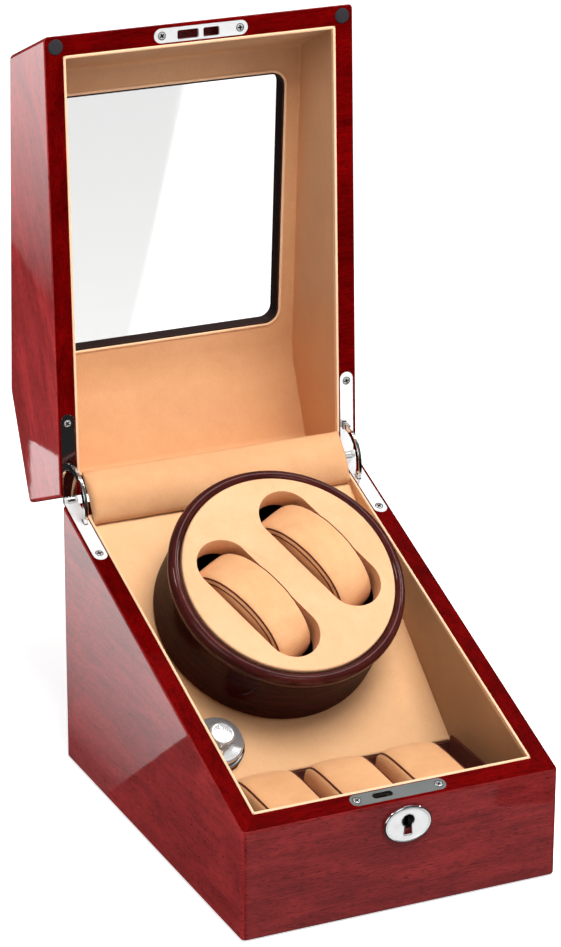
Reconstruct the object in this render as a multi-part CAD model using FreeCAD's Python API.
# Watch winder box: a wooden case with a sloping rim, a five-sided hinged lid with a window,
# a motor-driven turntable with two cushions on an inclined deck, and a storage tray with three
# cushions.
# Frame: +X to the right seen from the front, +Y to the back, +Z up. Origin at the centre of the
# underside of the base pad. All lengths in millimetres. The rest pose has the lid standing open.
import FreeCAD, Part
import math
import os

os.makedirs("parts", exist_ok=True)
Vec = FreeCAD.Vector

# ---------------------------------------------------------------- driving dimensions
# In the rim, deck and window frames, UP is measured up the slope and OUT square to it.
WIDTH = 180.0
DEPTH = 240.0
H_FRONT = 62.0       # case height at the front
H_BACK = 152.0       # case height at the back
LID_FRONT = 58.0     # height of the lid's upright front strip
LID_BEND = 175.0     # depth from the front to the bend between window face and top
H_TOTAL = 206.0      # closed height
WOOD_T = 10.5
LINING_T = 1.2       # leatherette lining
BOTTOM_T = 6.0
PAD_T = 1.0
RIM_GAP = 0.8        # gap between the two rims when closed
OPEN_DEG = 113.0     # how far the lid opens
CASE_CORNER_R = 2.5  # rounding of the case's upright outer corners
LID_CORNER_R = 1.8   # rounding of the lid's outer edges

DECK_TILT = 39.0     # slope of the deck, degrees
DECK_OUT = 44.3      # lined deck surface from the frame origin
DECK_T = 6.0         # deck board thickness
AXIS_UP = 99.4       # turntable axis
FACE_OUT = 93.4      # turntable face plane
MOTOR_UP = 51.4      # motor axis
KNOB_X, KNOB_UP = -53.9, 29.9

RUN = 0.05           # radial running clearance
FIT = 0.05           # clearance round a plate in its recess
SLIP = 0.1           # clearance of the tray and deck inside the lining

HINGE_X = 84.2       # hinge leaf centre from the middle
PIN_UP, PIN_OUT = 258.6, 0.4   # hinge pin in the rim frame
KEY_X, KEY_Z = 2.2, 51.2       # key barrel axis
HOOK_Y0, HOOK_Y1 = -114.3, -112.5
HOOK_R0, HOOK_R1 = 16.8, 19.6
JACK_X, JACK_Z = 52.0, 24.0    # power jack axis

# ---------------------------------------------------------------- derived places
FRONT, BACK = -DEPTH / 2, DEPTH / 2
IN_X = WIDTH / 2 - WOOD_T      # inner faces of the wooden walls
IN_Y = DEPTH / 2 - WOOD_T
LINED_X = IN_X - LINING_T - SLIP
LINED_Y = IN_Y - LINING_T - SLIP
FLOOR_Z = PAD_T + BOTTOM_T
DECK_BACK = DECK_OUT - LINING_T - DECK_T    # underside of the deck board
CUP_BOTTOM = DECK_OUT + 1.2                 # underside of the turntable cup
RISE = (H_BACK - H_FRONT) / DEPTH
RIM_TILT = math.degrees(math.atan(RISE))
RIM_COS, RIM_SIN = math.cos(math.radians(RIM_TILT)), math.sin(math.radians(RIM_TILT))
PIN_Y = FRONT + PIN_UP * RIM_COS - PIN_OUT * RIM_SIN
PIN_Z = H_FRONT + PIN_UP * RIM_SIN + PIN_OUT * RIM_COS
STRIP_TOP = H_FRONT + LID_FRONT             # top of the lid's upright front strip
WIN_TILT = math.degrees(math.atan2(H_TOTAL - STRIP_TOP, LID_BEND))
WIN_COS, WIN_SIN = math.cos(math.radians(WIN_TILT)), math.sin(math.radians(WIN_TILT))

ORIGIN = Vec(0, 0, 0)
X_AXIS, Y_AXIS, Z_AXIS = Vec(1, 0, 0), Vec(0, 1, 0), Vec(0, 0, 1)
SIDES = (-1, 1)      # left, right


def rim_z(y):
    """Height of the case rim."""
    return H_FRONT + (y - FRONT) * RISE


def lid_rim_z(y):
    """Height of the closed lid's rim."""
    return rim_z(y) + RIM_GAP / RIM_COS


# ---------------------------------------------------------------- solids
def polygon(points):
    return Part.Face(Part.makePolygon(points + [points[0]]))


def prism(points, x0=-IN_X, x1=IN_X):
    """Polygon of (y, z) points, extruded along X."""
    return polygon([Vec(x0, y, z) for y, z in points]).extrude(Vec(x1 - x0, 0, 0))


def box(x0, x1, y0, y1, z0, z1):
    return Part.makeBox(x1 - x0, y1 - y0, z1 - z0, Vec(x0, y0, z0))


def cylinder(radius, height, z, x=0.0, y=0.0):
    """Upright cylinder standing on z."""
    return Part.makeCylinder(radius, height, Vec(x, y, z))


def rod(radius, x, y, z, length, direction=Y_AXIS):
    return Part.makeCylinder(radius, length, Vec(x, y, z), direction)


def fused(shapes):
    return shapes[0].fuse(shapes[1:]).removeSplitter()


def stadium(half_length, radius, z0, z1, x=0.0, y=0.0, along_y=False):
    """Round-ended bar, half_length to the end of each round end."""
    reach = half_length - radius
    dx, dy = (0, reach) if along_y else (reach, 0)
    half_x, half_y = (radius, reach) if along_y else (reach, radius)
    bar = box(x - half_x, x + half_x, y - half_y, y + half_y, z0, z1)
    return fused([bar] + [cylinder(radius, z1 - z0, z0, x + k * dx, y + k * dy) for k in SIDES])


def rounded(x0, x1, y0, y1, z0, z1, radius):
    """Box with its four upright edges rounded."""
    block = box(x0, x1, y0, y1, z0, z1)
    upright = [e for e in block.Edges if abs(e.Vertexes[0].Z - e.Vertexes[1].Z) > 1e-6]
    return block.makeFillet(radius, upright)


def arc(start, middle, end):
    return Part.Arc(start, middle, end).toShape()


def lines(points):
    return [Part.makeLine(a, b) for a, b in zip(points, points[1:])]


def ring_sector(point, r0, r1, start, end, depth):
    """Sector of a ring, extruded by depth; point(radius, angle) gives the places in its plane."""
    middle = (start + end) / 2
    edges = [arc(point(r1, start), point(r1, middle), point(r1, end)),
             Part.makeLine(point(r1, end), point(r0, end)),
             arc(point(r0, end), point(r0, middle), point(r0, start)),
             Part.makeLine(point(r0, start), point(r1, start))]
    return Part.Face(Part.Wire(edges)).extrude(depth)


def around(radius, count, start=0.0):
    """Evenly spaced (x, y) places on a circle."""
    angles = [start + 2 * math.pi * i / count for i in range(count)]
    return [(radius * math.cos(a), radius * math.sin(a)) for a in angles]


def oval(length, height, width, power):
    """Oval roll: superellipse in the YZ plane, extruded along X."""
    count = 48
    points = []
    for i in range(count):
        angle = 2 * math.pi * i / count
        c, s = math.cos(angle), math.sin(angle)
        points.append(Vec(-width / 2,
                          length / 2 * math.copysign(abs(c) ** (2.0 / power), c),
                          height / 2 * math.copysign(abs(s) ** (2.0 / power), s)))
    curve = Part.BSplineCurve()
    curve.interpolate(points, PeriodicFlag=True)
    return Part.Face(Part.Wire([curve.toShape()])).extrude(Vec(width, 0, 0))


# ---------------------------------------------------------------- placing
def moved(shape, x, y, z):
    shape = shape.copy()
    shape.translate(Vec(x, y, z))
    return shape


def tilted(shape, degrees, pivot=ORIGIN):
    """Turned about the X direction through pivot."""
    shape = shape.copy()
    shape.rotate(pivot, X_AXIS, degrees)
    return shape


def flipped(shape):
    return tilted(shape, 180)


def mirrored(shape):
    return shape.mirror(ORIGIN, X_AXIS)


def both(shape):
    return [shape, mirrored(shape)]


def to_rim(shape):
    """From the rim frame (x, up the rim, out of the rim) to the case frame."""
    return moved(tilted(shape, RIM_TILT), 0, FRONT, H_FRONT)


def to_deck(shape):
    """From the deck frame (x, up the deck, out of the deck) to the case frame."""
    return tilted(shape, DECK_TILT)


def to_drum(shape):
    """From the turntable frame (across slots, along slots, out) to the case frame."""
    shape = shape.copy()
    shape.rotate(ORIGIN, Z_AXIS, SLOT_TURN)
    return to_deck(moved(shape, 0, AXIS_UP, 0))


def to_motor(shape):
    """From the deck frame, centred on the motor axis, to the case frame."""
    return to_deck(moved(shape, 0, MOTOR_UP, 0))


def to_knob(shape):
    """From the deck frame, centred on the selector axis, to the case frame."""
    return to_deck(moved(shape, KNOB_X, KNOB_UP, 0))


def to_window(shape):
    """From the lid's sloping face (x, up the face, out) to the closed lid's place."""
    return moved(tilted(shape, WIN_TILT), 0, FRONT, STRIP_TOP)


def open_lid(shape, degrees=OPEN_DEG):
    return tilted(shape, -degrees, Vec(0, PIN_Y, PIN_Z))


def export(name, shapes):
    """Write the solids of one shape, or of a list of shapes, to one STEP file."""
    solids = []
    for shape in (shapes if isinstance(shapes, list) else [shapes]):
        solids += shape.Solids
    assert solids and all(s.isValid() and s.Volume > 0 for s in solids), name
    out = solids[0] if len(solids) == 1 else Part.makeCompound(solids)
    out.exportStep("parts/%s.step" % name)


# ---------------------------------------------------------------- screws
# Countersunk wood screw along -Z with its head's top at z = 0
SCREW_HEAD_R, SCREW_R, SCREW_L = 2.3, 1.0, 8.0


def screw_body():
    sink = SCREW_HEAD_R - SCREW_R
    head = Part.makeCone(SCREW_R, SCREW_HEAD_R, sink, Vec(0, 0, -sink))
    return head.fuse(cylinder(SCREW_R, SCREW_L - sink, -SCREW_L)).removeSplitter()


def wood_screw():
    """The screw body with a cross recess."""
    half_l, half_w, deep = SCREW_HEAD_R * 1.25 / 2, 0.275, 0.6
    cross = box(-half_l, half_l, -half_w, half_w, -deep, 0)
    cross = cross.fuse(box(-half_w, half_w, -half_l, half_l, -deep, 0))
    return SCREW_BODY.cut(cross)


SCREW_BODY = screw_body()      # also cuts the screw holes
SCREW = wood_screw()


def pan_screw(head_r, head_t, radius, length):
    """Slotted pan head screw along -Z with the underside of its head at z = 0."""
    body = cylinder(head_r, head_t, 0).fuse(cylinder(radius, length, -length))
    half_l, half_w, deep = head_r * 1.3 / 2, 0.3, 0.7
    slot = box(-half_l, half_l, -half_w, half_w, head_t - deep, head_t)
    return body.removeSplitter().cut(slot)


def in_case_rim(screw, x, up):
    return to_rim(moved(screw, x, up, 0))


def in_lid_rim(screw, x, up):
    return to_rim(moved(flipped(screw), x, up, RIM_GAP))


# ---------------------------------------------------------------- hinge leaves and stays
LEAF_W, LEAF_T = 8.0, 1.5
LEAF_X0, LEAF_X1 = HINGE_X - LEAF_W / 2, HINGE_X + LEAF_W / 2
LEAF_UP = 209.3 + LEAF_W / 2   # centre of the leaf's rounded end; the end itself is at 209.3
RECESS_END = 262.0             # the leaf recesses run out past the pin
HINGE_SCREW_UP = LEAF_UP + 1.2
PIN_R = 0.9
KNUCKLE_R = 1.9
KNUCKLE_ROOM = KNUCKLE_R + 0.35
MID_X0, MID_X1 = HINGE_X - 2.15, HINGE_X + 2.15    # the lid leaf's middle knuckle
STAY_X = HINGE_X - 1.5         # stay centre from the middle
STAY_R0, STAY_R1 = 16.2, 20.2
STAY_HALF = 60.5               # half the stay's arc, degrees
STAY_T = 2.0
STAY_MID = 180.0 + RIM_TILT    # direction of the rim from the pin, degrees


def leaf_blank(out0, out1, grow=0.0, end=PIN_UP):
    half = LEAF_W / 2 + grow
    plate = box(HINGE_X - half, HINGE_X + half, LEAF_UP, end, out0, out1)
    tip = cylinder(half, out1 - out0, out0, HINGE_X, LEAF_UP)
    return to_rim(plate.fuse(tip).removeSplitter())


def pin_rod(radius, x0, x1):
    return rod(radius, x0, PIN_Y, PIN_Z, x1 - x0, X_AXIS)


def stay_sector(start, end, radial=0.0, side=0.0):
    """Curved bar about the pin, angles from +Y towards +Z, grown radially and sideways."""
    half = STAY_T / 2 + side

    def point(radius, degrees):
        a = math.radians(degrees)
        return Vec(STAY_X - half, PIN_Y + radius * math.cos(a), PIN_Z + radius * math.sin(a))
    return ring_sector(point, STAY_R0 - radial, STAY_R1 + radial, start, end,
                       Vec(2 * half, 0, 0))


case_stay_slot = stay_sector(STAY_MID - 6, STAY_MID + STAY_HALF + 1.2, 0.45, 0.25)
lid_stay_slot = stay_sector(STAY_MID - STAY_HALF - 1.2, STAY_MID + 6, 0.45, 0.25)
case_hinge_hole = in_case_rim(SCREW_BODY, HINGE_X, HINGE_SCREW_UP)
lid_hinge_hole = in_lid_rim(SCREW_BODY, HINGE_X, HINGE_SCREW_UP)


def case_leaf():
    """Plate with the two outer knuckles."""
    leaf = leaf_blank(-LEAF_T, 0.0).cut(pin_rod(KNUCKLE_ROOM, MID_X0 - 0.2, MID_X1 + 0.2))
    leaf = fused([leaf, pin_rod(KNUCKLE_R, LEAF_X0, MID_X0 - 0.15),
                  pin_rod(KNUCKLE_R, MID_X1 + 0.15, LEAF_X1)])
    return leaf.cut(pin_rod(PIN_R, LEAF_X0 - 1, LEAF_X1 + 1)) \
        .cut(case_stay_slot).cut(case_hinge_hole)


def lid_leaf():
    """Plate with the middle knuckle."""
    leaf = leaf_blank(RIM_GAP, RIM_GAP + LEAF_T)
    leaf = leaf.cut(pin_rod(KNUCKLE_ROOM, LEAF_X0 - 1, MID_X0))
    leaf = leaf.cut(pin_rod(KNUCKLE_ROOM, MID_X1, LEAF_X1 + 1))
    leaf = fused([leaf, pin_rod(KNUCKLE_R, MID_X0, MID_X1)])
    return leaf.cut(pin_rod(PIN_R + RUN, LEAF_X0 - 1, LEAF_X1 + 1)) \
        .cut(lid_stay_slot).cut(lid_hinge_hole)


def hinge_cover():
    """Leatherette strip that bridges the two rims at the back."""
    half_x, bulge = 77.4, 4.6
    start, end = Vec(-half_x, 106.0, 144.6), Vec(-half_x, 121.7, 167.4)
    outward = Vec(0, -0.826, 0.563)
    middle = (start + end) * 0.5 + outward * bulge
    skin = outward * LINING_T
    edges = [arc(start, middle, end), Part.makeLine(end, end + skin),
             arc(start + skin, middle + skin, end + skin), Part.makeLine(start + skin, start)]
    return Part.Face(Part.Wire(edges)).extrude(Vec(2 * half_x, 0, 0))


stay = open_lid(stay_sector(STAY_MID - STAY_HALF, STAY_MID + STAY_HALF), OPEN_DEG / 2)
export("hinge_leaves_case", both(case_leaf()))
export("hinge_leaves_lid", [open_lid(s) for s in both(lid_leaf())])
export("hinge_pins", both(pin_rod(PIN_R, LEAF_X0, LEAF_X1)))
export("stay_right", stay)
export("stay_left", mirrored(stay))
export("hinge_cover", hinge_cover())

# ---------------------------------------------------------------- lock
PLATE_UP = 6.6                 # centre line of the lock's face plate and strike plate
PLATE_W, PLATE_L, PLATE_T = 8.0, 54.6, 1.5
HOOK_SLOT_UP = 7.0             # centre line of the hook slots
FACE_SCREW_X, STRIKE_SCREW_X = 23.4, 22.8
LOCK_X = 22.0                  # lock case: half width
LOCK_Y0, LOCK_Y1 = -116.5, -109.7
LOCK_Z0, LOCK_Z1 = 33.5, 60.5
LOCK_WALL = 1.0
POCKET_GAP = 0.2               # clearance of the pocket round the lock case
BARREL_R = 4.5
KEYHOLE_UP = 2.1               # keyhole's round above the escutcheon's centre
HOOK_T = HOOK_Y1 - HOOK_Y0
HOOK_TIP, HOOK_TAIL = -57.0, -122.0   # from straight up, positive towards +X, degrees


def rim_plate(out0, out1, grow=0.0):
    return to_rim(stadium(PLATE_L / 2 + grow, PLATE_W / 2 + grow, out0, out1, 0, PLATE_UP))


def escutcheon():
    """Oval plate with a keyhole, made lying flat and then stood up on the front."""
    thick = 2.0
    plate = Part.Face(Part.Wire([Part.Ellipse(ORIGIN, 13.7, 10.4).toShape()]))
    plate = plate.extrude(Vec(0, 0, thick))
    plate = plate.makeFillet(0.9, [e for e in plate.Edges
                                   if abs(e.BoundBox.ZMin - thick) < 1e-6 and e.Length > 30])
    wedge = polygon([Vec(-1.6, KEYHOLE_UP, -2), Vec(-2.05, -5.6, -2),
                     Vec(2.05, -5.6, -2), Vec(1.6, KEYHOLE_UP, -2)])
    keyhole = cylinder(3.2, 6, -2, 0, KEYHOLE_UP).fuse(wedge.extrude(Vec(0, 0, 6)))
    return moved(tilted(plate.cut(keyhole), 90), KEY_X, FRONT, KEY_Z - KEYHOLE_UP)


def lock_case():
    wall = LOCK_WALL
    shell = box(-LOCK_X, LOCK_X, LOCK_Y0, LOCK_Y1, LOCK_Z0, LOCK_Z1)
    shell = shell.cut(box(-LOCK_X + wall, LOCK_X - wall, LOCK_Y0 + wall, LOCK_Y1 - wall,
                          LOCK_Z0 + wall, LOCK_Z1 - wall))
    shell = shell.cut(box(-16.0, -4.2, HOOK_Y0 - 0.4, HOOK_Y1 + 0.4, 59, 61))
    return shell.cut(rod(BARREL_R + RUN, KEY_X, -117, KEY_Z, 2.5))


def key_barrel():
    slot_x, slot_z = 0.8, 3.6
    barrel = rod(BARREL_R, KEY_X, -119.6, KEY_Z, 8.8)
    return barrel.cut(box(KEY_X - slot_x, KEY_X + slot_x, -121, -114.8,
                          KEY_Z - slot_z, KEY_Z + slot_z))


def lock_hook():
    """Curved hook about the key axis, with an arm from the barrel to its tail."""
    def point(radius, degrees):
        a = math.radians(degrees)
        return Vec(KEY_X + radius * math.sin(a), HOOK_Y0, KEY_Z + radius * math.cos(a))
    curve = ring_sector(point, HOOK_R0, HOOK_R1, HOOK_TAIL, HOOK_TIP, Vec(0, HOOK_T, 0))
    arm = box(-2.5, 2.5, 0, HOOK_T, 0, HOOK_R1 - 0.4)
    arm.rotate(ORIGIN, Y_AXIS, HOOK_TAIL + 6.0)
    arm.translate(Vec(KEY_X, HOOK_Y0, KEY_Z))
    hook = fused([curve, arm, rod(6.5, KEY_X, HOOK_Y0, KEY_Z, HOOK_T)])
    return hook.cut(rod(BARREL_R, KEY_X, -121, KEY_Z, 20))


def lock_face_plate():
    plate = rim_plate(-PLATE_T, 0.0)
    plate = plate.cut(to_rim(stadium(5.7, 1.8, -3, 3, -8.6, HOOK_SLOT_UP)))
    for side in SIDES:
        plate = plate.cut(in_case_rim(SCREW_BODY, side * FACE_SCREW_X, PLATE_UP))
    return plate


def strike_plate():
    plate = rim_plate(RIM_GAP, RIM_GAP + PLATE_T)
    for x0, x1 in ((-13.8, -1.4), (1.3, 10.7)):
        plate = plate.cut(to_rim(rounded(x0, x1, HOOK_SLOT_UP - 2.5, HOOK_SLOT_UP + 2.5,
                                         RIM_GAP - 2, RIM_GAP + 4, 1.0)))
    for side in SIDES:
        plate = plate.cut(in_lid_rim(SCREW_BODY, side * STRIKE_SCREW_X, PLATE_UP))
    return plate


case_screws = [in_case_rim(SCREW, side * FACE_SCREW_X, PLATE_UP) for side in SIDES]
case_screws += both(in_case_rim(SCREW, HINGE_X, HINGE_SCREW_UP))
lid_screws = [in_lid_rim(SCREW, side * STRIKE_SCREW_X, PLATE_UP) for side in SIDES]
lid_screws += both(in_lid_rim(SCREW, HINGE_X, HINGE_SCREW_UP))
export("escutcheon", escutcheon())
export("lock_case", lock_case())
export("key_barrel", key_barrel())
export("lock_hook", lock_hook())
export("lock_face_plate", lock_face_plate())
export("strike_plate", open_lid(strike_plate()))
export("case_screws", case_screws)
export("lid_screws", [open_lid(s) for s in lid_screws])


# ---------------------------------------------------------------- case panels
def outer_edges(panel):
    """Edges lying in the right-hand outer face."""
    return [e for e in panel.Edges
            if all(abs(v.X - WIDTH / 2) < 1e-6 for v in e.Vertexes[:2])]


def case_side():
    side = prism([(FRONT, PAD_T), (BACK, PAD_T), (BACK, H_BACK), (FRONT, H_FRONT)],
                 IN_X, WIDTH / 2)
    upright = [e for e in outer_edges(side)
               if abs(abs(e.Vertexes[0].Y) - DEPTH / 2) < 1e-6
               and abs(e.Vertexes[0].Y - e.Vertexes[1].Y) < 1e-6]
    side = side.makeFillet(CASE_CORNER_R, upright)
    side = side.cut(leaf_blank(-LEAF_T, 3.0, FIT, RECESS_END))
    return side.cut(case_stay_slot).cut(case_hinge_hole)


def case_front():
    front = prism([(FRONT, PAD_T), (-IN_Y, PAD_T), (-IN_Y, rim_z(-IN_Y)), (FRONT, H_FRONT)])
    half_x = LOCK_X + POCKET_GAP
    front = front.cut(box(-half_x, half_x, LOCK_Y0 - POCKET_GAP, -109.0,
                          LOCK_Z0 - POCKET_GAP, LOCK_Z1 + POCKET_GAP))
    front = front.cut(box(-16.2, -5.4, HOOK_Y0 - 0.5, HOOK_Y1 + 0.5, 60.0, 66.5))
    front = front.cut(rim_plate(-PLATE_T, 3.0, FIT))
    front = front.cut(rod(5.2, KEY_X, FRONT - 1, KEY_Z, 8))
    for side in SIDES:
        front = front.cut(in_case_rim(SCREW_BODY, side * FACE_SCREW_X, PLATE_UP))
    return front


def case_back():
    back = prism([(IN_Y, PAD_T), (BACK, PAD_T), (BACK, H_BACK), (IN_Y, rim_z(IN_Y))])
    return back.cut(rod(5.6, JACK_X, IN_Y - 1, JACK_Z, WOOD_T + 2))


def case_inner(inset):
    """Space inside the case walls, inset from them."""
    x, y = IN_X - inset, IN_Y - inset
    return prism([(-y, FLOOR_Z), (y, FLOOR_Z), (y, rim_z(y)), (-y, rim_z(-y))], -x, x)


def case_lining():
    lining = case_inner(0).cut(case_inner(LINING_T))
    return lining.cut(rod(9.7, JACK_X, IN_Y - 5, JACK_Z, 8))


side_panel = case_side()
export("case_side_right", side_panel)
export("case_side_left", mirrored(side_panel))
export("case_front", case_front())
export("case_back", case_back())
export("case_bottom", box(-IN_X, IN_X, -IN_Y, IN_Y, PAD_T, FLOOR_Z))
export("base_pad", rounded(-84, 84, -114, 114, 0, PAD_T, 4))
export("case_lining", case_lining())

# ---------------------------------------------------------------- deck
DECK_UP0, DECK_L = 8.0, 172.0  # lower end of the deck and its length before trimming
CLEAT = 10.0                   # cleat section


def deck_layer(out0, out1):
    """Sheet of the deck with its two holes, trimmed at the back lining."""
    sheet = box(-LINED_X, LINED_X, DECK_UP0, DECK_UP0 + DECK_L, out0, out1)
    sheet = sheet.cut(cylinder(8.0, 30, DECK_OUT - 20, 0, AXIS_UP))
    sheet = sheet.cut(cylinder(4.0, 30, DECK_OUT - 20, KNOB_X, KNOB_UP))
    return to_deck(sheet).cut(box(-200, 200, LINED_Y, 300, -50, 400))


export("deck_board", deck_layer(DECK_BACK, DECK_OUT - LINING_T))
export("deck_lining", deck_layer(DECK_OUT - LINING_T, DECK_OUT))
# cleats that carry the deck board on the side walls
cleat = box(LINED_X - CLEAT, LINED_X, 30, 150, DECK_BACK - CLEAT, DECK_BACK)
export("deck_cleats", [to_deck(s) for s in both(cleat)])

# ---------------------------------------------------------------- storage tray
TRAY_TOP, TRAY_BACK_TOP = 42.5, 38.6  # wall height, and that of the lower back wall
TRAY_WALL, TRAY_FLOOR = 1.5, 2.5
TRAY_Y1 = -22.3                # back of the tray
STORE_L, STORE_H, STORE_W = 77.0, 43.0, 36.0
STORE_PITCH = 42.2             # spacing of the storage cushions
STORE_X, STORE_Y = 1.3, -67.5  # centre of the middle storage cushion


def storage_tray():
    tray = box(-LINED_X, LINED_X, -LINED_Y, TRAY_Y1, FLOOR_Z, TRAY_TOP)
    tray = tray.cut(box(-LINED_X + TRAY_WALL, LINED_X - TRAY_WALL, -LINED_Y + TRAY_WALL,
                        TRAY_Y1 - TRAY_WALL, FLOOR_Z + TRAY_FLOOR, 100))
    return tray.cut(box(-200, 200, TRAY_Y1 - 2, 0, TRAY_BACK_TOP, 100))


export("storage_tray", storage_tray())
store_cushion = oval(STORE_L, STORE_H, STORE_W, power=4.0)
store_z = FLOOR_Z + TRAY_FLOOR + 0.1 + STORE_H / 2
for i in range(3):
    export("store_cushion_%d" % (i + 1),
           moved(store_cushion, STORE_X + (i - 1) * STORE_PITCH, STORE_Y, store_z))

# ---------------------------------------------------------------- turntable
LIP_R = 66.0
WALL_R = 63.5                  # outside of the cup wall
FACE_R = 59.3                  # face disc
FACE_T = 4.2
CUP_WALL, CUP_FLOOR = 3.0, 2.5
WELL = 15.0                    # depth of the cushion wells' walls below the face
WELL_WALL = 1.5
SLOT_TURN = 27.3               # rest angle of the turntable
SLOT_X = 25.0                  # slot centre from the axis
SLOT_L, SLOT_W = 82.0, 30.8
CUSH_L, CUSH_H, CUSH_W = 72.0, 53.6, 27.6
CUSH_DROP = 18.0               # cushion centre below the face
SPINDLE_R = 3.0
SPINDLE_END = 20.5             # inner end of the spindle


def drum_cup():
    """Cup turned from its section, with a rounded lip and a ledge for the face."""
    def at(radius, out):
        return Vec(radius, 0, out)
    top, seat = FACE_OUT - 0.6, FACE_OUT - FACE_T
    inner, bore, floor = WALL_R - CUP_WALL, SPINDLE_R, CUP_BOTTOM + CUP_FLOOR
    outside = [at(bore, CUP_BOTTOM), at(WALL_R - 1.0, CUP_BOTTOM),
               at(WALL_R, CUP_BOTTOM + 1.0), at(WALL_R, top - 10.0)]
    lip = [arc(at(WALL_R, top - 10.0), at(LIP_R - 0.35, top - 8.2), at(LIP_R, top - 5.5)),
           arc(at(LIP_R, top - 5.5), at(LIP_R - 1.3, top - 1.3), at(LIP_R - 3.4, top)),
           arc(at(LIP_R - 3.4, top), at(LIP_R - 5.2, top - 0.45), at(FACE_R + 0.5, top - 2.0))]
    inside = [at(FACE_R + 0.5, top - 2.0), at(FACE_R + 0.5, seat), at(57.0, seat),
              at(57.0, seat - 3.0), at(inner, seat - 5.0), at(inner, floor),
              at(bore, floor), at(bore, CUP_BOTTOM)]
    section = Part.Face(Part.Wire(lines(outside) + lip + lines(inside)))
    return section.revolve(ORIGIN, Z_AXIS, 360)


def slot_bar(grow, out0, out1, x=0.0):
    return stadium(SLOT_L / 2 + grow, SLOT_W / 2 + grow, out0, out1, x, along_y=True)


def drum_face():
    """Face disc with two cushion slots, each with a well wall behind it."""
    well_end = FACE_OUT - WELL
    face = cylinder(FACE_R, FACE_T, FACE_OUT - FACE_T)
    face = face.makeFillet(0.8, [e for e in face.Edges if e.Length > 300
                                 and abs(e.BoundBox.ZMax - FACE_OUT) < 1e-6])
    for side in SIDES:
        face = face.fuse(slot_bar(WELL_WALL, well_end, FACE_OUT - 2.0, side * SLOT_X))
    face = face.common(cylinder(FACE_R, 40, FACE_OUT - 30))
    # the wells' outer corners stay clear of the cup's ledge
    behind = WELL - FACE_T
    face = face.cut(cylinder(80, behind, well_end).cut(cylinder(56.6, behind, well_end)))
    for side in SIDES:
        face = face.cut(slot_bar(0, FACE_OUT - 20.0, FACE_OUT + 5.0, side * SLOT_X))
    return face.removeSplitter()


def drum_spindle():
    """Hub flange and shaft, one turned piece."""
    hub_out = CUP_BOTTOM + CUP_FLOOR
    hub = cylinder(9.3, 3.0, hub_out).fuse(cylinder(5.5, 7.0, hub_out))
    return fused([hub, cylinder(SPINDLE_R, hub_out + 0.1 - SPINDLE_END, SPINDLE_END)])


def spindle_bush():
    flange_t = 2.5
    end = DECK_BACK - flange_t
    bush = cylinder(13.0, flange_t, end).fuse(cylinder(7.9, CUP_BOTTOM - 0.3 - end, end))
    return bush.removeSplitter().cut(cylinder(SPINDLE_R + RUN, 60, 0))


turn_cushion = oval(CUSH_L, CUSH_H, CUSH_W, power=2.0).common(slot_bar(-0.3, -60, 60))
export("drum_cup", to_drum(drum_cup()))
export("drum_face", to_drum(drum_face()))
export("drum_spindle", to_drum(drum_spindle()))
export("spindle_bush", to_drum(spindle_bush()))
for name, side in (("turn_cushion_left", -1), ("turn_cushion_right", 1)):
    export(name, to_drum(moved(turn_cushion, side * SLOT_X, 0, FACE_OUT - CUSH_DROP)))

# ---------------------------------------------------------------- drive
PULLEY_BIG = 27.0              # belt seat radius on the spindle pulley
PULLEY_SMALL = 7.0             # belt seat radius on the motor pulley
PULLEY_OUT = 24.0              # inner face of both pulleys
MOTOR_SHAFT_R = 1.5
BRACKET_TOP = PULLEY_OUT - 3.0
BRACKET_T = 2.0
BRACKET_SCREW_R = 1.5
BRACKET_HOLES = [(x, y) for x in (-26, 26) for y in (-19, 3)]


def pulley(seat, bore):
    flange = seat + 2
    wheel = fused([cylinder(flange, 1.5, PULLEY_OUT), cylinder(seat, 3.4, PULLEY_OUT + 1.3),
                   cylinder(flange, 1.5, PULLEY_OUT + 4.5)])
    return wheel.cut(cylinder(bore, 60, PULLEY_OUT - 30))


def spindle_pulley():
    wheel = pulley(PULLEY_BIG, SPINDLE_R)
    for x, y in around(15.5, 4, math.radians(45)):
        wheel = wheel.cut(cylinder(6.5, 20, PULLEY_OUT - 5, x, y))
    return wheel


def belt_loop(grow, out0, out1):
    """Solid loop round both pulleys, grown outward from their belt seats."""
    big, small = PULLEY_BIG + grow, PULLEY_SMALL + grow
    lean = math.acos((big - small) / (AXIS_UP - MOTOR_UP))

    def touch(centre_up, radius, angle):
        return Vec(radius * math.sin(angle), centre_up - radius * math.cos(angle), out0)
    big_right, big_left = touch(AXIS_UP, big, lean), touch(AXIS_UP, big, -lean)
    small_right, small_left = touch(MOTOR_UP, small, lean), touch(MOTOR_UP, small, -lean)
    outline = Part.Wire([arc(big_right, Vec(0, AXIS_UP + big, out0), big_left),
                         Part.makeLine(big_left, small_left),
                         arc(small_left, Vec(0, MOTOR_UP - small, out0), small_right),
                         Part.makeLine(small_right, big_right)])
    return Part.Face(outline).extrude(Vec(0, 0, out1 - out0))


def motor_bracket():
    plate = box(-30, 30, -23, 23, BRACKET_TOP - BRACKET_T, BRACKET_TOP)
    plate = plate.cut(cylinder(6.2, 10, BRACKET_TOP - 5))
    for x, y in BRACKET_HOLES:
        plate = plate.cut(cylinder(BRACKET_SCREW_R, 10, BRACKET_TOP - 5, x, y))
    return plate


def bracket_post(x, y):
    post = cylinder(3.2, DECK_BACK - BRACKET_TOP, BRACKET_TOP, x, y)
    return post.cut(cylinder(BRACKET_SCREW_R, 8, BRACKET_TOP, x, y))


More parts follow.
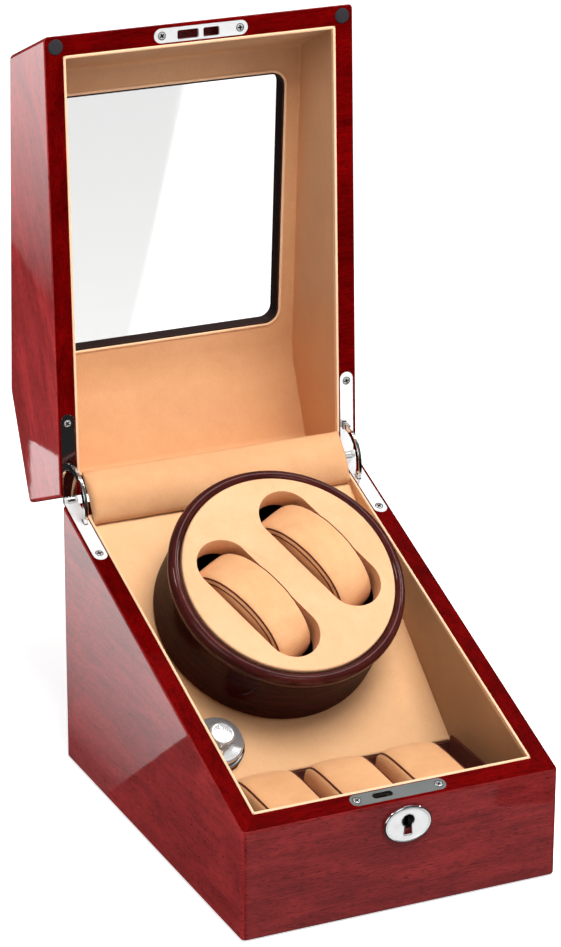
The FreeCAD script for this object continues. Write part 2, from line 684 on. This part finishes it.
def gear_motor():
    """Boss, gearbox and motor can, with two terminals at the back end."""
    motor = fused([cylinder(6.0, 2.0, BRACKET_TOP - 2.0), cylinder(18.0, 20.0, BRACKET_TOP - 22.0),
                   cylinder(12.0, 9.0, BRACKET_TOP - 31.0)])
    motor = motor.cut(cylinder(MOTOR_SHAFT_R + RUN, 8.0, BRACKET_TOP - 5.0))
    for x in (-5, 5):
        motor = motor.fuse(box(x - 0.5, x + 0.5, -1.5, 1.5,
                               BRACKET_TOP - 35.0, BRACKET_TOP - 31.0))
    return motor


belt = belt_loop(1.3, PULLEY_OUT + 2.0, PULLEY_OUT + 4.0)
belt = belt.cut(belt_loop(0.05, PULLEY_OUT + 1.0, PULLEY_OUT + 5.0))
export("spindle_pulley", to_drum(spindle_pulley()))
export("motor_pulley", to_motor(pulley(PULLEY_SMALL, MOTOR_SHAFT_R)))
export("motor_shaft", to_motor(cylinder(MOTOR_SHAFT_R, 13.0, PULLEY_OUT - 7.0)))
export("drive_belt", to_deck(belt))
export("motor_bracket", to_motor(motor_bracket()))
export("bracket_posts", [to_motor(bracket_post(x, y)) for x, y in BRACKET_HOLES])
export("gear_motor", to_motor(gear_motor()))

# ---------------------------------------------------------------- selector
SELECTOR_R = 3.0               # knob shaft


def selector_switch():
    switch = cylinder(9.0, 11.0, DECK_BACK - 11.0)
    switch = switch.fuse(cylinder(3.9, DECK_OUT + 2.6 - DECK_BACK, DECK_BACK))
    switch = switch.removeSplitter().cut(cylinder(SELECTOR_R + RUN, 60, DECK_BACK - 6.0))
    for x in (-5, 0, 5):
        switch = switch.fuse(box(x - 0.5, x + 0.5, -1.5, 1.5,
                                 DECK_BACK - 15.0, DECK_BACK - 11.0))
    return switch


def selector_knob():
    """Skirt, fluted grip and cap with a small dot sunk in it, on a shaft."""
    skirt = cylinder(14.0, 4.2, DECK_OUT + 3.3)
    skirt = skirt.makeFillet(1.2, [e for e in skirt.Edges if e.Length > 60
                                   and e.BoundBox.ZMin > DECK_OUT + 7.4])
    grip = cylinder(6.5, 7.5, DECK_OUT + 7.5)
    for x, y in around(6.6, 18):
        grip = grip.cut(cylinder(0.55, 8.5, DECK_OUT + 7.5, x, y))
    cap = cylinder(6.8, 1.5, DECK_OUT + 14.5)
    cap = cap.makeFillet(0.5, [e for e in cap.Edges if e.Length > 30])
    end = DECK_BACK - 3.0
    shaft = cylinder(SELECTOR_R, DECK_OUT + 3.6 - end, end)
    return fused([skirt, grip, cap, shaft]).cut(cylinder(0.55, 0.4, DECK_OUT + 15.7, 0, 4.4))


base_ring = Part.makeCone(17.1, 15.6, 3.0, Vec(0, 0, DECK_OUT))
export("selector_base_ring", to_knob(base_ring.cut(cylinder(4.0, 10, DECK_OUT - 1))))
export("selector_switch", to_knob(selector_switch()))
export("selector_knob", to_knob(selector_knob()))

# ---------------------------------------------------------------- electrics
BOARD_OUT, BOARD_T = 27.5, 1.6
BOARD_TOP = BOARD_OUT + BOARD_T
BOARD_SCREW_R = 1.2
BOARD_HOLES = ((36, 65.5), (63, 65.5), (36, 110.5), (63, 110.5))


def control_board():
    """Circuit board with four components on its underside."""
    board = box(32.5, 66.5, 62, 114, BOARD_OUT, BOARD_TOP)
    for x, y in BOARD_HOLES:
        board = board.cut(cylinder(BOARD_SCREW_R, 5, 26, x, y))
    return [board,
            box(46.5, 55.5, 84, 93, BOARD_OUT - 1.4, BOARD_OUT),
            cylinder(4, 9, BOARD_OUT - 9, 56.5, 100),
            box(37.5, 49.5, 72, 79, BOARD_OUT - 7, BOARD_OUT),
            box(53.5, 61.5, 72, 78, BOARD_OUT - 6, BOARD_OUT)]


def standoff(x, y):
    post = cylinder(2.4, DECK_BACK - BOARD_TOP, BOARD_TOP, x, y)
    return post.cut(cylinder(BOARD_SCREW_R, 5.0, BOARD_TOP, x, y))


def power_jack():
    """Jack body with its socket and pin, and a flat-sided nut inside the back wall."""
    jack = rod(5.5, JACK_X, IN_Y - 3.0, JACK_Z, WOOD_T + 3.0)
    jack = jack.fuse(rod(7.2, JACK_X, BACK, JACK_Z, 1.4))
    jack = jack.fuse(box(JACK_X - 6, JACK_X + 6, IN_Y - 11.0, IN_Y - 3.0,
                         JACK_Z - 6, JACK_Z + 6)).removeSplitter()
    jack = jack.cut(rod(2.8, JACK_X, BACK + 2.0, JACK_Z, 11.5, Vec(0, -1, 0)))
    jack = jack.fuse(rod(0.9, JACK_X, BACK + 0.4, JACK_Z, 12.0, Vec(0, -1, 0)))
    nut = cylinder(9.0, 2.2, 0).common(box(-7, 7, -20, 20, -1, 9)).cut(cylinder(5.5, 10, -3))
    return [jack.removeSplitter(), moved(tilted(nut, 90), JACK_X, IN_Y, JACK_Z)]


def deck_point(x, up, out):
    a = math.radians(DECK_TILT)
    return Vec(x, up * math.cos(a) - out * math.sin(a), up * math.sin(a) + out * math.cos(a))


def wire(points):
    curve = Part.BSplineCurve()
    curve.interpolate(points)
    start = curve.tangent(curve.FirstParameter)[0]
    section = Part.Wire([Part.makeCircle(0.9, points[0], start)])
    pipe = Part.Wire([curve.toShape()]).makePipeShell([section], True, True)
    # the sweep may come back as a closed shell
    return pipe.Solids[0] if pipe.Solids else Part.Solid(Part.Shell(pipe.Faces))


jack_to_board = [Vec(JACK_X, IN_Y - 11.3, JACK_Z), Vec(JACK_X, 88, 30), Vec(52, 80, 45),
                 deck_point(43.5, 82, 12), deck_point(43.5, 75.5, 19.6)]
# (x, up, out) in the deck frame
board_to_motor = [(57.5, 71, 24.5), (56.5, 60, 20), (48, 48, 2), (30, 46, -12),
                  (14, 50, -18), (5, 51.4, -15.2)]
board_to_switch = [(40.5, 71, 24.5), (43, 58, 19), (40, 45, 14), (10, 18, 12),
                   (-30, 16, 12), (-48, 24, 14), (-48.9, 29.9, 21.0)]

bracket_screw = flipped(pan_screw(2.8, 1.8, BRACKET_SCREW_R, 8.0))
board_screw = flipped(pan_screw(2.2, 1.4, BOARD_SCREW_R, 6.0))
pan_screws = [to_motor(moved(bracket_screw, x, y, BRACKET_TOP - BRACKET_T))
              for x, y in BRACKET_HOLES]
pan_screws += [to_deck(moved(board_screw, x, y, BOARD_OUT)) for x, y in BOARD_HOLES]
export("control_board", [to_deck(s) for s in control_board()])
export("board_standoffs", [to_deck(standoff(x, y)) for x, y in BOARD_HOLES])
export("pan_screws", pan_screws)
export("power_jack", power_jack())
export("wiring", [wire(jack_to_board)] + [wire([deck_point(*p) for p in path])
                                          for path in (board_to_motor, board_to_switch)])

# ---------------------------------------------------------------- lid
WIN_X = 68.0                   # window half width
WIN_UP0, WIN_UP1 = 24.0, 171.5
WIN_R = 7.0
EDGING_T = 1.2
REBATE = 3.0                   # depth of the glass rebate
BUMPER_R, BUMPER_X, BUMPER_UP = 4.3, 83.6, 6.4
BUMPER_SUNK, BUMPER_PROUD = 1.6, 0.7


def slope_z(y, depth):
    """Height of the sloping face's plane, moved in by depth."""
    y0, z0 = FRONT + depth * WIN_SIN, STRIP_TOP - depth * WIN_COS
    return z0 + (y - y0) * WIN_SIN / WIN_COS


def bend(depth):
    """(y, z) where the sloping face meets the top, both moved in by depth."""
    z = H_TOTAL - depth
    y0, z0 = FRONT + depth * WIN_SIN, STRIP_TOP - depth * WIN_COS
    return (y0 + (z - z0) * WIN_COS / WIN_SIN, z)


def window_block(grow, out0, out1):
    return rounded(-WIN_X - grow, WIN_X + grow, WIN_UP0 - grow, WIN_UP1 + grow,
                   out0, out1, WIN_R + grow)


window_opening = to_window(window_block(EDGING_T, -30, 10))
bumper_hole = to_rim(cylinder(BUMPER_R, BUMPER_SUNK, RIM_GAP, BUMPER_X, BUMPER_UP))


def lid_side():
    side = prism([(FRONT, lid_rim_z(FRONT)), (BACK, lid_rim_z(BACK)), (BACK, H_TOTAL),
                  (FRONT + LID_BEND, H_TOTAL), (FRONT, STRIP_TOP)], IN_X, WIDTH / 2)

    def on_rim(edge):
        a, b = edge.Vertexes
        return abs((b.Z - a.Z) - (b.Y - a.Y) * RISE) < 1e-3
    side = side.makeFillet(LID_CORNER_R, [e for e in outer_edges(side) if not on_rim(e)])
    side = side.cut(leaf_blank(-3.0, RIM_GAP + LEAF_T, FIT, RECESS_END))
    return side.cut(lid_stay_slot).cut(lid_hinge_hole).cut(bumper_hole)


def lid_front():
    front = prism([(FRONT, lid_rim_z(FRONT)), (-IN_Y, lid_rim_z(-IN_Y)),
                   (-IN_Y, slope_z(-IN_Y, WOOD_T)), (FRONT, slope_z(FRONT, WOOD_T))])
    front = front.cut(rim_plate(-3.0, RIM_GAP + PLATE_T, FIT))
    front = front.cut(box(-15.5, 12.0, HOOK_Y0 - 2.6, HOOK_Y1 + 1.0,
                          60.0, KEY_Z + HOOK_R1 + 1.0))
    for side in SIDES:
        front = front.cut(in_lid_rim(SCREW_BODY, side * STRIKE_SCREW_X, PLATE_UP))
    return front.cut(bumper_hole).cut(mirrored(bumper_hole))


def lid_window_frame():
    frame = prism([(FRONT, slope_z(FRONT, WOOD_T)), (FRONT, STRIP_TOP), bend(0), bend(WOOD_T)])
    return frame.cut(window_opening).cut(to_window(window_block(4.5, -REBATE, 10)))


def window_edging():
    edging = window_block(EDGING_T, -(WOOD_T + LINING_T + 0.3), -REBATE)
    return to_window(edging.cut(window_block(0, -30, 10)))


def lid_inner(depth):
    """Space inside the lid, in by depth from its outer faces."""
    x, y0, y1 = WIDTH / 2 - depth, FRONT + depth, BACK - depth
    return prism([(y0, lid_rim_z(y0)), (y1, lid_rim_z(y1)), (y1, H_TOTAL - depth),
                  bend(depth), (y0, slope_z(y0, depth))], -x, x)


lid_top = prism([bend(0), (BACK, H_TOTAL), (BACK, H_TOTAL - WOOD_T), bend(WOOD_T)])
lid_back = prism([(IN_Y, lid_rim_z(IN_Y)), (BACK, lid_rim_z(BACK)),
                  (BACK, H_TOTAL - WOOD_T), (IN_Y, H_TOTAL - WOOD_T)])
lid_lining = lid_inner(WOOD_T).cut(lid_inner(WOOD_T + LINING_T)).cut(window_opening)
bumper = to_rim(cylinder(BUMPER_R, BUMPER_SUNK + BUMPER_PROUD, RIM_GAP - BUMPER_PROUD,
                         BUMPER_X, BUMPER_UP))
side_panel = lid_side()
export("lid_side_right", open_lid(side_panel))
export("lid_side_left", open_lid(mirrored(side_panel)))
export("lid_front", open_lid(lid_front()))
export("lid_window_frame", open_lid(lid_window_frame()))
export("window_glass", open_lid(to_window(window_block(4.3, -2.95, -0.15))))
export("window_edging", open_lid(window_edging()))
export("lid_top", open_lid(lid_top))
export("lid_back", open_lid(lid_back))
export("lid_lining", open_lid(lid_lining))
export("lid_bumpers", [open_lid(s) for s in both(bumper)])
